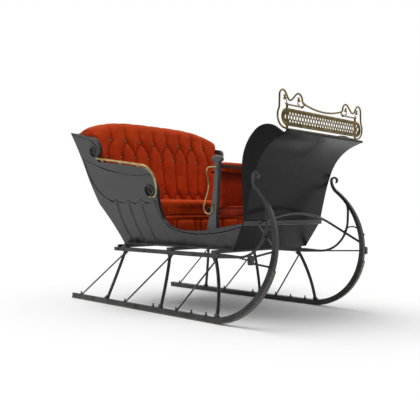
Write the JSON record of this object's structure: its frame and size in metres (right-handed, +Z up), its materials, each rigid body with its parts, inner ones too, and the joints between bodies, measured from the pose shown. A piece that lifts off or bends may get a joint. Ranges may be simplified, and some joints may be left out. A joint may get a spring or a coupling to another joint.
{
  "type": "horse drawn sleigh",
  "caption": "Flared passenger sleigh with tufted velvet seats, rolled dash, pierced brass rein rail and gooseneck runners on iron knees.",
  "frame": {"origin": "middle of the bounding box at the floor, between the runners", "axes": "+X is the way of travel, +Y is to the left, +Z is up"},
  "size_m": [2.19, 1.4876, 1.4887],
  "materials": {
    "black_paint": "satin black coach paint",
    "black_iron": "satin black paint on forged iron",
    "shoe_steel": "worn steel strip",
    "brass": "aged, softly polished",
    "velvet": "orange-red velvet"
  },
  "bodies": {
    "root": {"arch_rod": "black_iron", "arm_lining_left": "velvet", "arm_lining_right": "velvet", "arm_rail_left": "brass", "arm_rail_right": "brass", "back_panel": "black_paint", "beam_left": "black_paint", "beam_right": "black_paint", "bolster_front": "black_paint", "bolster_middle": "black_paint", "bolster_rear": "black_paint", "brace_left": "black_iron", "brace_right": "black_iron", "cheek_left": "black_paint", "cheek_right": "black_paint", "dash_lower": "black_paint", "dash_moulding": "black_paint", "dash_upper": "black_paint", "eye_stay_left": "black_paint", "eye_stay_right": "black_paint", "floor": "black_paint", "front_back_pad": "velvet", "front_back_roll": "velvet", "front_seat_board": "black_paint", "front_seat_pad": "velvet", "front_standard_left": "black_paint", "front_standard_right": "black_paint", "grab_rail_left": "brass", "grab_rail_right": "brass", "knee_front_left": "black_iron", "knee_front_right": "black_iron", "knee_middle_left": "black_iron", "knee_middle_right": "black_iron", "knee_rear_left": "black_iron", "knee_rear_right": "black_iron", "rear_cushion": "velvet", "rear_rod": "black_iron", "rear_tufted_back": "velvet", "rein_lattice": "brass", "rein_rail": "brass", "riser_pad_left": "velvet", "riser_pad_middle": "velvet", "riser_pad_right": "velvet", "runner_left": "black_paint", "runner_right": "black_paint", "seat_board": "black_paint", "seat_riser": "velvet", "shaft_coupling_left": "black_iron", "shaft_coupling_right": "black_iron", "shoe_left": "shoe_steel", "shoe_right": "shoe_steel", "side_left": "black_paint", "side_right": "black_paint", "stay_front_left": "black_paint", "stay_front_right": "black_paint", "stay_middle_left": "black_paint", "stay_middle_right": "black_paint", "stay_rear_left": "black_paint", "stay_rear_right": "black_paint"}
  },
  "joints": []
}
